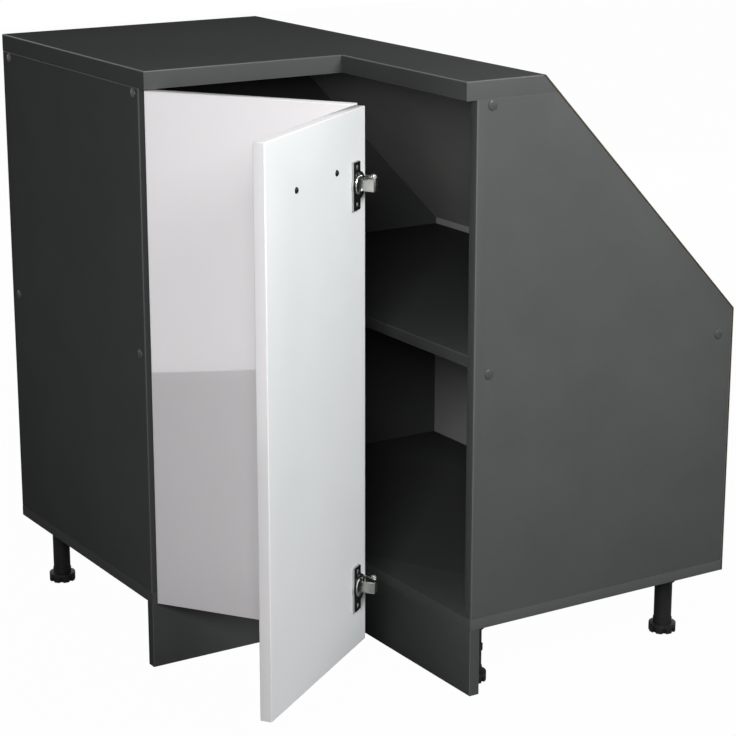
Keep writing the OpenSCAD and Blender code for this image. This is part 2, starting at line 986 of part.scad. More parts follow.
module handle_screws() {
    color(zinc)
        door_placed()
            for (y = handle_ys)
                translate([leaf_back, y, handle_z])
                    rotate(to_left)
                        pan_screw(leaf_t + handle_bite - 1, handle_screw_d, 8, 2.6);
}

// Parts that both kinds of hinge share
cup_wall = 1.2;
cup_screw_d = 3.5;
cup_screw_len = 12;
cup_screw_head = 7;
plate_screw_d = 4;
plate_screw_len = 12;
plate_screw_head = 7;
plate_screw_rise = 16;                        // of the plate screws above and below the middle
plate_t = 2.2;
plate_spine = 18;
plate_wing_h = 48;
plate_wing_w = 14;
sheet_t = 1.2;
arm_h = 16;
running_fit = 0.05;

// Cup with its rim plate, mouth at height 0, leaf below, screws along y
module hinge_cup(rim_t, mouth_d, ear_w, ear_off) {
    difference() {
        union() {
            translate([0, 0, -cup_depth])
                cylinder(d = cup_d, h = cup_depth + rim_t);
            cylinder(d = cup_d + 2, h = rim_t);
            linear_extrude(rim_t)
                cup_ears(ear_w, cup_screw_spacing + 15, ear_off);
        }
        translate([0, 0, -cup_depth + cup_wall])
            cylinder(d = cup_d - 2 * cup_wall, h = cup_depth - cup_wall);
        translate([0, 0, -cut])
            cylinder(d = mouth_d, h = rim_t + 2 * cut);
        for (s = [-1, 1])
            translate([ear_off, s * cup_screw_spacing / 2, -cut])
                cylinder(d = cup_screw_d + 2 * fit, h = rim_t + 2 * cut);
    }
}

module cup_ears(w, h, off) {
    translate([off - w / 2, -h / 2])
        bevelled_outline([w, h], 4);
}

// Upright pin through z = 0
module pin(d, len) {
    translate([0, 0, -len / 2])
        cylinder(d = d, h = len, $fn = 32);
}

module pin_bore(d, gap) {
    translate([0, 0, -20])
        cylinder(d = d + 2 * gap, h = 40, $fn = 32);
}

// Plate from the first plan point to the second with round eyes of radius r at its ends,
// `w` wide between them, over `h` in the middle of z; its ends stay short of the eyes' bores
module eye_bar(p, q, r, w, h) {
    inset = 2.1;
    run = q - p;
    for (c = [p, q])
        translate([c.x, c.y, -h / 2])
            cylinder(r = r, h = h, $fn = 32);
    translate([p.x, p.y, -h / 2])
        rotate([0, 0, atan2(run.y, run.x)])
            translate([inset, -w / 2, 0])
                cube([norm(run) - 2 * inset, w, h]);
}

// Swing hinges, drawn closed. Crank and link make a parallelogram with the leaf: the crank
// is as long as the leaf's own lever from the swing axis to the cup pin, and the link keeps
// its direction, so that the leaf turns about an axis inside its own edge
swing_rim_t = 1.5;
swing_ear_w = 15;
swing_ear_off = 6;
swing_pin_d = 3;
link_len = 31;
link_angle = 42;
link_t = 3;
link_h = 12;
eye_r = 3;
open_pivot_gap = 0.1;
crank_t = 1.7;
crank_r = 3.5;
crank_w = 5;
crank_gap = 0.3;
lug_t = 2;
arm_cheek_t = 1.7;
arm_eye_r = 4;
swing_plate_t = 2.3;
swing_web_t = 1.7;
swing_cup_x = hinge_edge_gap + swing_cup_inset;
link_run = link_len * [cos(link_angle), sin(link_angle)];
cup_pin = [swing_cup_x, leaf_back - 3.5];
arm_pin = swing_axis + link_run;
crank_pin = cup_pin + link_run;
crank_inner = link_h / 2 + crank_gap;
crank_outer = crank_inner + crank_t;
arm_inner = crank_outer + crank_gap;
arm_outer = arm_inner + arm_cheek_t;
swing_plate_y = side_front + 37;
swing_arm_end = swing_plate_y + 13;
swing_web_x = side_t + swing_plate_t;

// Turns the crank with the door, and carries the link along without turning it
module crank_placed() {
    placed()
        translate([arm_pin.x, arm_pin.y, 0])
            rotate([0, 0, -open_angle])
                translate([-arm_pin.x, -arm_pin.y, 0])
                    children();
}

module link_placed() {
    shift = turned(cup_pin, swing_axis, -open_angle) - cup_pin;
    placed()
        translate([shift.x, shift.y, 0])
            children();
}

module at_hinges() {
    for (z = hinge_zs)
        translate([0, 0, z])
            children();
}

module at_swing_cups() {
    at_hinges()
        translate([swing_cup_x, leaf_back, 0])
            rotate([-90, 0, 0])
                children();
}

module at_swing_cup_screws() {
    at_hinges()
        for (s = [-1, 1])
            translate([swing_cup_x + swing_ear_off, leaf_back + swing_rim_t, s * cup_screw_spacing / 2])
                rotate(to_front)
                    children();
}

module at_swing_plate_screws() {
    at_hinges() {
        for (s = [-1, 1])
            translate([swing_web_x, swing_plate_y, s * plate_screw_rise])
                rotate(to_left)
                    children();
        translate([swing_web_x + swing_web_t, swing_plate_y + 6, 0])
            rotate(to_left)
                children();
    }
}

module swing_hinge_plates() {
    color(nickel)
        placed()
            difference() {
                at_hinges()
                    translate([side_t, swing_plate_y, 0])
                        rotate([90, 0, 90])
                            linear_extrude(swing_plate_t)
                                hinge_plate_outline(-22, 16);
                at_swing_plate_screws()
                    plain_bore(plate_screw_len, plate_screw_d);
            }
}

// Cross-shaped plate, its spine from `low` to `high` and its wings up and down
module hinge_plate_outline(low, high) {
    w = plate_wing_w / 2;
    h = plate_wing_h / 2;
    s = plate_spine / 2;
    b = 2;
    polygon([[low + b, -s], [-w, -s], [-w, -h + b], [-w + b, -h], [w - b, -h], [w, -h + b], [w, -s],
        [high - b, -s], [high, -s + b], [high, s - b], [high - b, s], [w, s], [w, h - b], [w - b, h],
        [-w + b, h], [-w, h - b], [-w, s], [low + b, s], [low, s - b], [low, -s + b]]);
}

module swing_plate_screws() {
    color(zinc)
        placed()
            at_swing_plate_screws()
                pan_screw(plate_screw_len, plate_screw_d, plate_screw_head, 2.2);
}

module swing_hinge_arms() {
    nose = arm_pin.y - arm_eye_r;
    color(nickel)
        placed()
            difference() {
                at_hinges() {
                    translate([swing_web_x, nose, -arm_outer])
                        cube([swing_web_t, swing_arm_end - nose, 2 * arm_outer]);
                    for (z = [-arm_outer, arm_inner])
                        translate([0, 0, z]) {
                            translate([arm_pin.x, arm_pin.y, 0])
                                cylinder(r = arm_eye_r, h = arm_cheek_t, $fn = 32);
                            linear_extrude(arm_cheek_t)
                                polygon([[swing_web_x, nose], [arm_pin.x, nose],
                                    [arm_pin.x + arm_eye_r, arm_pin.y], [arm_pin.x + 1, arm_pin.y + 9],
                                    [swing_web_x + 6, swing_plate_y - 10], [swing_web_x + 4, swing_arm_end],
                                    [swing_web_x, swing_arm_end]]);
                        }
                }
                at_hinges()
                    translate([arm_pin.x, arm_pin.y, 0])
                        pin_bore(swing_pin_d, 0);
                at_swing_plate_screws()
                    plain_bore(plate_screw_len, plate_screw_d);
            }
}

module swing_arm_pins() {
    head_h = 0.8;
    color(zinc)
        placed()
            at_hinges()
                translate([arm_pin.x, arm_pin.y, 0]) {
                    pin(swing_pin_d, 2 * arm_outer + 2 * head_h);
                    for (z = [-arm_outer - head_h, arm_outer])
                        translate([0, 0, z])
                            cylinder(r = 2.4, h = head_h, $fn = 32);
                }
}

module swing_hinge_cranks() {
    run = crank_pin - arm_pin;
    bridge_from = 4.5;
    bridge_t = 1.2;
    color(nickel)
        crank_placed()
            at_hinges()
                difference() {
                    union() {
                        for (s = [-1, 1])
                            translate([0, 0, s * (crank_inner + crank_outer) / 2])
                                eye_bar(arm_pin, crank_pin, crank_r, crank_w, crank_t);
                        translate([arm_pin.x, arm_pin.y, -crank_outer])
                            rotate([0, 0, atan2(run.y, run.x)])
                                translate([bridge_from, crank_w / 2 - bridge_t, 0])
                                    cube([norm(run) - 2 * bridge_from, bridge_t, 2 * crank_outer]);
                    }
                    translate([arm_pin.x, arm_pin.y, 0])
                        pin_bore(swing_pin_d, running_fit);
                    translate([crank_pin.x, crank_pin.y, 0])
                        pin_bore(swing_pin_d, 0);
                }
}

module swing_crank_pins() {
    color(zinc)
        crank_placed()
            at_hinges()
                translate([crank_pin.x, crank_pin.y, 0])
                    pin(swing_pin_d, 2 * crank_outer);
}

module swing_hinge_links() {
    color(nickel)
        link_placed()
            at_hinges()
                difference() {
                    eye_bar(cup_pin, crank_pin, eye_r, link_t, link_h);
                    translate([cup_pin.x, cup_pin.y, 0])
                        pin_bore(swing_pin_d, open_pivot_gap);
                    translate([crank_pin.x, crank_pin.y, 0])
                        pin_bore(swing_pin_d, running_fit);
                }
}

module swing_hinge_cups() {
    lug_w = 7;
    lug_h = cup_depth - cup_wall - 0.3;
    color(nickel)
        door_placed()
            at_swing_cups()
                difference() {
                    union() {
                        hinge_cup(swing_rim_t, cup_d - 2 * cup_wall, swing_ear_w, swing_ear_off);
                        for (y = [-crank_inner - lug_t, crank_inner])
                            translate([-lug_w / 2, y, -cup_depth + cup_wall])
                                cube([lug_w, lug_t, lug_h]);
                    }
                    translate([0, 0, cup_pin.y - leaf_back])
                        rotate([90, 0, 0])
                            translate([0, 0, -10])
                                cylinder(d = swing_pin_d, h = 20, $fn = 32);
                }
}

module swing_cup_pins() {
    color(zinc)
        door_placed()
            at_hinges()
                translate([cup_pin.x, cup_pin.y, 0])
                    pin(swing_pin_d, 2 * (crank_inner + lug_t));
}

module swing_cup_screws() {
    color(zinc)
        door_placed()
            at_swing_cup_screws()
                pan_screw(cup_screw_len, cup_screw_d, cup_screw_head, 1.8);
}

// Fold hinges, drawn closed: a slim pin in the corner between the leaves, straps round the
// ends of both leaves, a plate on the left leaf and a cup with a hood on the right one
fold_pin_d = 2.4;
knuckle_r = 2.2;
knuckle_h = 8;                                // of the left leaf's knuckle, in the middle
knuckle_gap = 0.3;
strap_gap = 0.4;                              // between a strap and the end of its leaf
strap_start = 2.9;                            // from the pin to where a strap is full height
fold_rim_t = 2.5;
fold_cover_t = 1.5;
fold_ear_w = 20;
fold_ear_off = 7;
fold_mouth_d = 22;
ring_d = 26;
ring_h = 2;
fold_cup_y = fold_edge - fold_cup_inset;
fold_plate_x = fold_edge - 22;
fold_arm_step = fold_edge - 5;                // where the left arm steps down off its plate
hood_h = 16;
hood_reach = 23.5;
ear_t = 1.2;
rivet_s = 6.5;                                // from the fold edge
rivet_n = 14.5;                               // from the back of the leaf
rivet_d = 4;

module at_fold_cups() {
    at_hinges()
        translate([leaf_back, fold_cup_y, 0])
            rotate([0, 90, 0])
                rotate([0, 0, -90])
                    children();
}

module at_fold_cup_screws() {
    at_hinges()
        for (s = [-1, 1])
            translate([leaf_back + fold_rim_t, fold_cup_y - fold_ear_off, s * cup_screw_spacing / 2])
                rotate(to_left)
                    children();
}

module at_fold_plate_screws() {
    at_hinges() {
        for (s = [-1, 1])
            translate([fold_plate_x, leaf_back + plate_t, s * plate_screw_rise])
                rotate(to_front)
                    children();
        translate([fold_plate_x - 6, leaf_back + plate_t + sheet_t, 0])
            rotate(to_front)
                children();
    }
}

module fold_hinge_plates() {
    color(nickel)
        door_placed()
            difference() {
                at_hinges()
                    translate([fold_plate_x, leaf_back + plate_t, 0])
                        rotate([90, 0, 0])
                            linear_extrude(plate_t)
                                hinge_plate_outline(-16, 14);
                at_fold_plate_screws()
                    plain_bore(plate_screw_len, plate_screw_d);
            }
}

module fold_plate_screws() {
    color(zinc)
        door_placed()
            at_fold_plate_screws()
                pan_screw(plate_screw_len, plate_screw_d, plate_screw_head, 2.2);
}

// Strap along x from x0 to x1 or along y from y0 to y1, `h` high about z = 0
module slab(x0, x1, y0, y1, h) {
    translate([x0, y0, -h / 2])
        cube([x1 - x0, y1 - y0, h]);
}

module fold_arms_left() {
    strap = fold_edge + strap_gap;
    tail = fold_plate_x - 14;
    over = leaf_back + plate_t;
    cheek_t = 1;
    cheek_rise = 5;
    color(nickel)
        door_placed()
            difference() {
                at_hinges() {
                    slab(strap, strap + sheet_t, fold_axis.y, leaf_back + sheet_t, knuckle_h);
                    slab(strap, strap + sheet_t, fold_axis.y + strap_start, leaf_back + sheet_t, arm_h);
                    slab(fold_arm_step, strap + sheet_t, leaf_back, leaf_back + sheet_t, arm_h);
                    slab(fold_arm_step, fold_arm_step + sheet_t, leaf_back, over + sheet_t, arm_h);
                    slab(tail, fold_arm_step + sheet_t, over, over + sheet_t, arm_h);
                    for (z = [-arm_h / 2, arm_h / 2 - cheek_t])
                        translate([tail + 2, over, z])
                            cube([fold_arm_step - tail - 4, cheek_rise, cheek_t]);
                    translate([fold_axis.x, fold_axis.y, -knuckle_h / 2])
                        cylinder(r = knuckle_r, h = knuckle_h, $fn = 32);
                }
                at_hinges()
                    translate([fold_axis.x, fold_axis.y, 0])
                        pin_bore(fold_pin_d, 0);
                at_fold_plate_screws()
                    plain_bore(plate_screw_len, plate_screw_d);
            }
}

module fold_hinge_pins() {
    head_h = 0.8;
    head_gap = 0.2;
    color(zinc)
        door_placed()
            at_hinges()
                translate([fold_axis.x, fold_axis.y, 0]) {
                    pin(fold_pin_d, arm_h + 2 * head_gap + 2 * head_h);
                    for (z = [-arm_h / 2 - head_gap - head_h, arm_h / 2 + head_gap])
                        translate([0, 0, z])
                            cylinder(r = 1.9, h = head_h, $fn = 32);
                }
}

// Arm of the right leaf: two knuckles, a strap round the leaf's end, a foot on its back and
// two ears up to the hood
module fold_arms_right() {
    strap = fold_edge + strap_gap;
    foot_y = fold_edge - 8;
    knuckle_from = knuckle_h / 2 + knuckle_gap;
    foot_h = hood_h + 2 * ear_t;
    color(nickel)
        door_placed()
            difference() {
                at_hinges() {
                    difference() {
                        slab(fold_axis.x, leaf_back + sheet_t, strap, strap + sheet_t, arm_h);
                        slab(0, fold_axis.x + strap_start, strap - cut, strap + sheet_t + cut,
                            2 * knuckle_from);
                    }
                    slab(leaf_back, leaf_back + sheet_t, foot_y, strap + sheet_t, foot_h);
                    for (z = [-foot_h / 2, hood_h / 2])
                        translate([leaf_back, 0, z])
                            linear_extrude(ear_t)
                                polygon([[0, foot_y], [0, fold_edge - 1.5], [8, fold_edge - 2],
                                    [17.5, fold_edge - 2.5], [19, fold_edge - 4], [19, foot_y - 1],
                                    [10, foot_y - 1.5], [8, foot_y]]);
                    for (z = [-arm_h / 2, knuckle_from])
                        translate([fold_axis.x, fold_axis.y, z])
                            cylinder(r = knuckle_r, h = arm_h / 2 - knuckle_from, $fn = 32);
                }
                at_hinges()
                    translate([fold_axis.x, fold_axis.y, 0])
                        pin_bore(fold_pin_d, running_fit);
                at_rivets()
                    pin_bore(rivet_d, 0);
            }
}

module at_rivets() {
    at_hinges()
        translate([leaf_back + rivet_n, fold_edge - rivet_s, 0])
            children();
}

// Sheet hood, outline in [distance from the back, distance from the fold edge], with two
// tongues down to the floor of the cup
module fold_hinge_hoods() {
    web = fold_cup_inset;
    t = sheet_t;
    deep = cup_depth - cup_wall;
    low = 5;
    color(nickel)
        door_placed()
            difference() {
                at_hinges()
                    translate([leaf_back, fold_edge, 0])
                        intersection() {
                            translate([0, 0, -hood_h / 2])
                                linear_extrude(hood_h)
                                    mirror([0, 1])
                                        polygon([[-deep, web], [hood_reach - 3, web],
                                            [hood_reach - 1, web - 0.8], [hood_reach, web - 3],
                                            [hood_reach, 15], [20.6, 8], [18, 4], [11, 4], [low, 8],
                                            [low, web - 7], [-deep, web - 7]]);
                            translate([-deep - 1, -web, -hood_h / 2])
                                rotate([90, 0, 90])
                                    linear_extrude(hood_reach + deep + 2)
                                        polygon([[0, 1.5], [1.5, 0], [web, 0], [web, hood_h], [1.5, hood_h],
                                            [0, hood_h - 1.5]]);
                        }
                at_hinges()
                    translate([leaf_back, fold_edge, -hood_h / 2 + t])
                        linear_extrude(hood_h - 2 * t)
                            mirror([0, 1])
                                polygon([[-deep - 1, web - t], [hood_reach - t - 2, web - t],
                                    [hood_reach - t, web - 3], [hood_reach - t, 15.4],
                                    [19.3, 8], [18, -1], [-deep - 1, -1]]);
                at_rivets()
                    pin_bore(rivet_d, 0);
            }
}

module fold_hood_rivets() {
    head_h = 1.8;
    inner = hood_h / 2 - sheet_t;
    outer = hood_h / 2 + ear_t;
    color(zinc)
        door_placed()
            at_rivets()
                for (s = [0, 1])
                    mirror([0, 0, s])
                        rotate_extrude($fn = 32)
                            polygon([[0, inner - 0.8], [3, inner - 0.8], [3, inner], [rivet_d / 2, inner],
                                [rivet_d / 2, outer], [3.5, outer], [3.2, outer + head_h * 0.6],
                                [2.2, outer + head_h], [0, outer + head_h]]);
}

module fold_hinge_cups() {
    color(grey_plastic)
        door_placed()
            at_fold_cups()
                hinge_cup(fold_rim_t, fold_mouth_d, fold_ear_w, fold_ear_off);
}

// Black cover over the rim, open round the ring and the screws
module fold_cup_covers() {
    margin = 0.6;
    color(black_plastic)
        door_placed()
            at_fold_cups()
                difference() {
                    union() {
                        translate([0, 0, fold_rim_t])
                            cylinder(d = cup_d + 2 - 2 * margin, h = fold_cover_t);
                        translate([0, 0, fold_rim_t])
                            linear_extrude(fold_cover_t)
                                cup_ears(fold_ear_w - 2 * margin, cup_screw_spacing + 15 - 2 * margin,
                                    fold_ear_off);
                    }
                    translate([0, 0, fold_rim_t - cut])
                        cylinder(d = ring_d + 2 * fit, h = fold_cover_t + 2 * cut);
                    for (s = [-1, 1])
                        translate([fold_ear_off, s * cup_screw_spacing / 2, fold_rim_t - cut])
                            cylinder(d = cup_screw_head + 1, h = fold_cover_t + 2 * cut);
                }
}

module fold_cup_rings() {
    color(nickel)
        door_placed()
            at_fold_cups()
                rotate_extrude()
                    polygon([[fold_mouth_d / 2, fold_rim_t], [ring_d / 2, fold_rim_t],
                        [ring_d / 2, fold_rim_t + ring_h - 0.6], [ring_d / 2 - 0.6, fold_rim_t + ring_h],
                        [fold_mouth_d / 2 + 0.4, fold_rim_t + ring_h],
                        [fold_mouth_d / 2, fold_rim_t + ring_h - 0.4]]);
}

module fold_cup_screws() {
    color(zinc)
        door_placed()
            at_fold_cup_screws()
                pan_screw(cup_screw_len, cup_screw_d, cup_screw_head, 1.8);
}

top_board();
left_side_panel();
right_side_panel();
rear_panel();
right_back_panel();
sloped_back_panel();
bottom_panel();
shelf();
top_connector_blocks();
shelf_connector_blocks();
panel_screws();
block_screws();
screw_caps();
dowels();
bottom_screws();
back_screws();
plinth_left();
plinth_right();
plinth_corner_bracket();
plinth_clips();
plinth_screws();
leg_plates();
leg_screws();
leg_tubes();
foot_1();
foot_2();
foot_3();
foot_4();
foot_5();
foot_6();
door_leaf_left();
door_leaf_right();
handle();
handle_screws();
swing_hinge_plates();
swing_plate_screws();
swing_hinge_arms();
swing_arm_pins();
swing_hinge_cranks();
swing_crank_pins();
swing_hinge_links();
swing_hinge_cups();
swing_cup_pins();
swing_cup_screws();
fold_hinge_plates();
fold_plate_screws();
fold_arms_left();
fold_hinge_pins();
fold_arms_right();
fold_hinge_cups();
fold_cup_covers();
fold_cup_rings();
fold_cup_screws();
fold_hinge_hoods();
fold_hood_rivets();
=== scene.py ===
import json
import math

import bmesh
import bpy
from mathutils import Matrix, Vector


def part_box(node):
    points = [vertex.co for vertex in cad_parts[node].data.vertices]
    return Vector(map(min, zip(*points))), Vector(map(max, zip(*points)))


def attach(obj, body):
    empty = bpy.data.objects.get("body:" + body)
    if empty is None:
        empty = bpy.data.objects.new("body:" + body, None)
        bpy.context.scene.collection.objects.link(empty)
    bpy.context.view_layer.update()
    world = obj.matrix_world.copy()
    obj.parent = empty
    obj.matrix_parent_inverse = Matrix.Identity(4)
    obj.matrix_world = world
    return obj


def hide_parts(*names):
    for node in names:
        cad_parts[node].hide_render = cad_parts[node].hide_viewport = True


# Corner base cabinet with a folding corner door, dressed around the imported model.
# Everything is in metres, in the model's own frame.

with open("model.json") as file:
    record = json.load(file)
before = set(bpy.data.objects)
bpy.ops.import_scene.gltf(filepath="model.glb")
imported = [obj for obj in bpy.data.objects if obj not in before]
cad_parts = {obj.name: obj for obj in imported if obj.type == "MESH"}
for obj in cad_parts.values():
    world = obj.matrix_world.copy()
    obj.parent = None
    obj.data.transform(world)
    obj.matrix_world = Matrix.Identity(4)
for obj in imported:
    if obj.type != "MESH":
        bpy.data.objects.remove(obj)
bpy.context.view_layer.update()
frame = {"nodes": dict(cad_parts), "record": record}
print("frame loaded:", len(frame["nodes"]), "nodes")

mm = 0.001

# The photograph's camera, found from the corners of the carcass
cameraPlace = {
    "location": (-1.6632, -2.6625, 1.2637),
    "yaw": 32.14,         # degrees to the right of +Y
    "pitch": -15.56,      # degrees up
    "lens": 109.6,        # millimetres, as the sensor
    "sensor": 36.0,
    "farthest": 60,       # metres
}

# Two soft lamps, fitted to the photo's tones: one beside the camera, one high in front.
# A third lights only the back, which the photo doesn't show
lighting = {
    "ambient": 0.075,     # what the boards get from the surroundings
    "background": 1.0,    # what the camera and the gloss see there
    "lamps": {
        "cameraSideLamp": {"from": (-1.66, -2.28, 1.48), "to": (-0.15, -0.2, 0.45),
                           "size": 0.6, "power": 34.5, "glossy": True},
        "highFrontLamp": {"from": (0.28, -1.58, 1.63), "to": (0.0, -0.1, 0.6),
                          "size": 0.6, "power": 24.0, "glossy": True},
        "backLamp": {"from": (2.6, 3.0, 1.0), "to": (0.1, 0.2, 0.45),
                     "size": 1.2, "power": 45.0, "glossy": False},
    },
}

# The floor ends at the left where the photo's gloss leaf shows a boundary. The shares say how
# much of the white background each kind of ray sees in place of the floor's own grey
floorPlace = {"low": (-1.88, -7.0), "high": (7.0, 7.0), "colour": "#9c9c9c",
              "cameraShare": 0.985, "glossyShare": 0.08}


def hexColour(code):
    # sRGB hex to the linear values that the shaders use
    parts = [int(code[i:i + 2], 16) / 255 for i in (1, 3, 5)]
    linear = [p / 12.92 if p <= 0.04045 else ((p + 0.055) / 1.055) ** 2.4 for p in parts]
    return (*linear, 1.0)


white = hexColour("#ffffff")


def addNode(tree, kind, settings=None, links=None):
    # Settings and links go by a socket's name or number, other settings by the node's own names
    node = tree.nodes.new(kind)
    for key, value in (settings or {}).items():
        if isinstance(key, int) or key in node.inputs:
            node.inputs[key].default_value = value
        else:
            setattr(node, key, value)
    for key, source in (links or {}).items():
        tree.links.new(source, node.inputs[key])
    return node


def newMaterial(name):
    material = bpy.data.materials.new(name)
    material.use_nodes = True
    tree = material.node_tree
    tree.nodes.clear()
    output = addNode(tree, "ShaderNodeOutputMaterial")
    return material, tree, output


def mottle(tree, position, size, detail):
    # Noise with cells about `size` metres across, stretched to run from 0 to 1
    noise = addNode(tree, "ShaderNodeTexNoise", {"Scale": 1 / size, "Detail": detail, "Roughness": 0.55},
                    {"Vector": position})
    spread = addNode(tree, "ShaderNodeMapRange", {"From Min": 0.3, "From Max": 0.7},
                     {"Value": noise.outputs["Fac"]})
    return spread.outputs["Result"]


# Sockets of the colour Mix node, which share their names with its other sockets
mixFactor, mixFirst, mixSecond, mixResult = 0, 6, 7, 2
usualIor = 1.5


def mixColours(tree, first, second):
    # Both colours as hex, or the first left to a link
    mix = addNode(tree, "ShaderNodeMix", {"data_type": "RGBA"})
    if first:
        mix.inputs[mixFirst].default_value = hexColour(first)
    mix.inputs[mixSecond].default_value = hexColour(second)
    return mix


def surfaceMaterial(name, finish):
    # One shader for the boards, plastics and plated metals: mottled colour and roughness,
    # and a fine relief at the real grain's size
    material, tree, output = newMaterial(name)
    place = addNode(tree, "ShaderNodeTexCoord").outputs["Object"]
    clouds = mottle(tree, place, finish["cloudSize"], 3.0)
    grain = mottle(tree, place, finish["grainSize"], 2.0)
    tone = mixColours(tree, finish["dark"], finish["light"])
    tree.links.new(clouds, tone.inputs[mixFactor])
    speck = mixColours(tree, None, finish["speck"])
    amount = addNode(tree, "ShaderNodeMath", {"operation": "MULTIPLY", 1: finish["speckShare"]}, {0: grain})
    tree.links.new(tone.outputs[mixResult], speck.inputs[mixFirst])
    tree.links.new(amount.outputs[0], speck.inputs[mixFactor])
    rough = addNode(tree, "ShaderNodeMapRange", {
        "To Min": finish["roughness"] - finish["roughSpread"],
        "To Max": finish["roughness"] + finish["roughSpread"]}, {"Value": clouds})
    bump = addNode(tree, "ShaderNodeBump", {"Strength": finish["relief"], "Distance": finish["reliefDepth"]},
                   {"Height": grain})
    shader = addNode(tree, "ShaderNodeBsdfPrincipled", {
        "Metallic": finish.get("metallic", 0.0), "Specular IOR Level": finish["specular"],
        "IOR": finish.get("ior", usualIor), "Coat Weight": finish.get("coat", 0.0),
        "Coat Roughness": finish.get("coatRoughness", 0.1), "Coat IOR": finish.get("coatIor", usualIor)},
        {"Base Color": speck.outputs[mixResult], "Roughness": rough.outputs["Result"],
         "Normal": bump.outputs["Normal"]})
    tree.links.new(shader.outputs["BSDF"], output.inputs["Surface"])
    return material


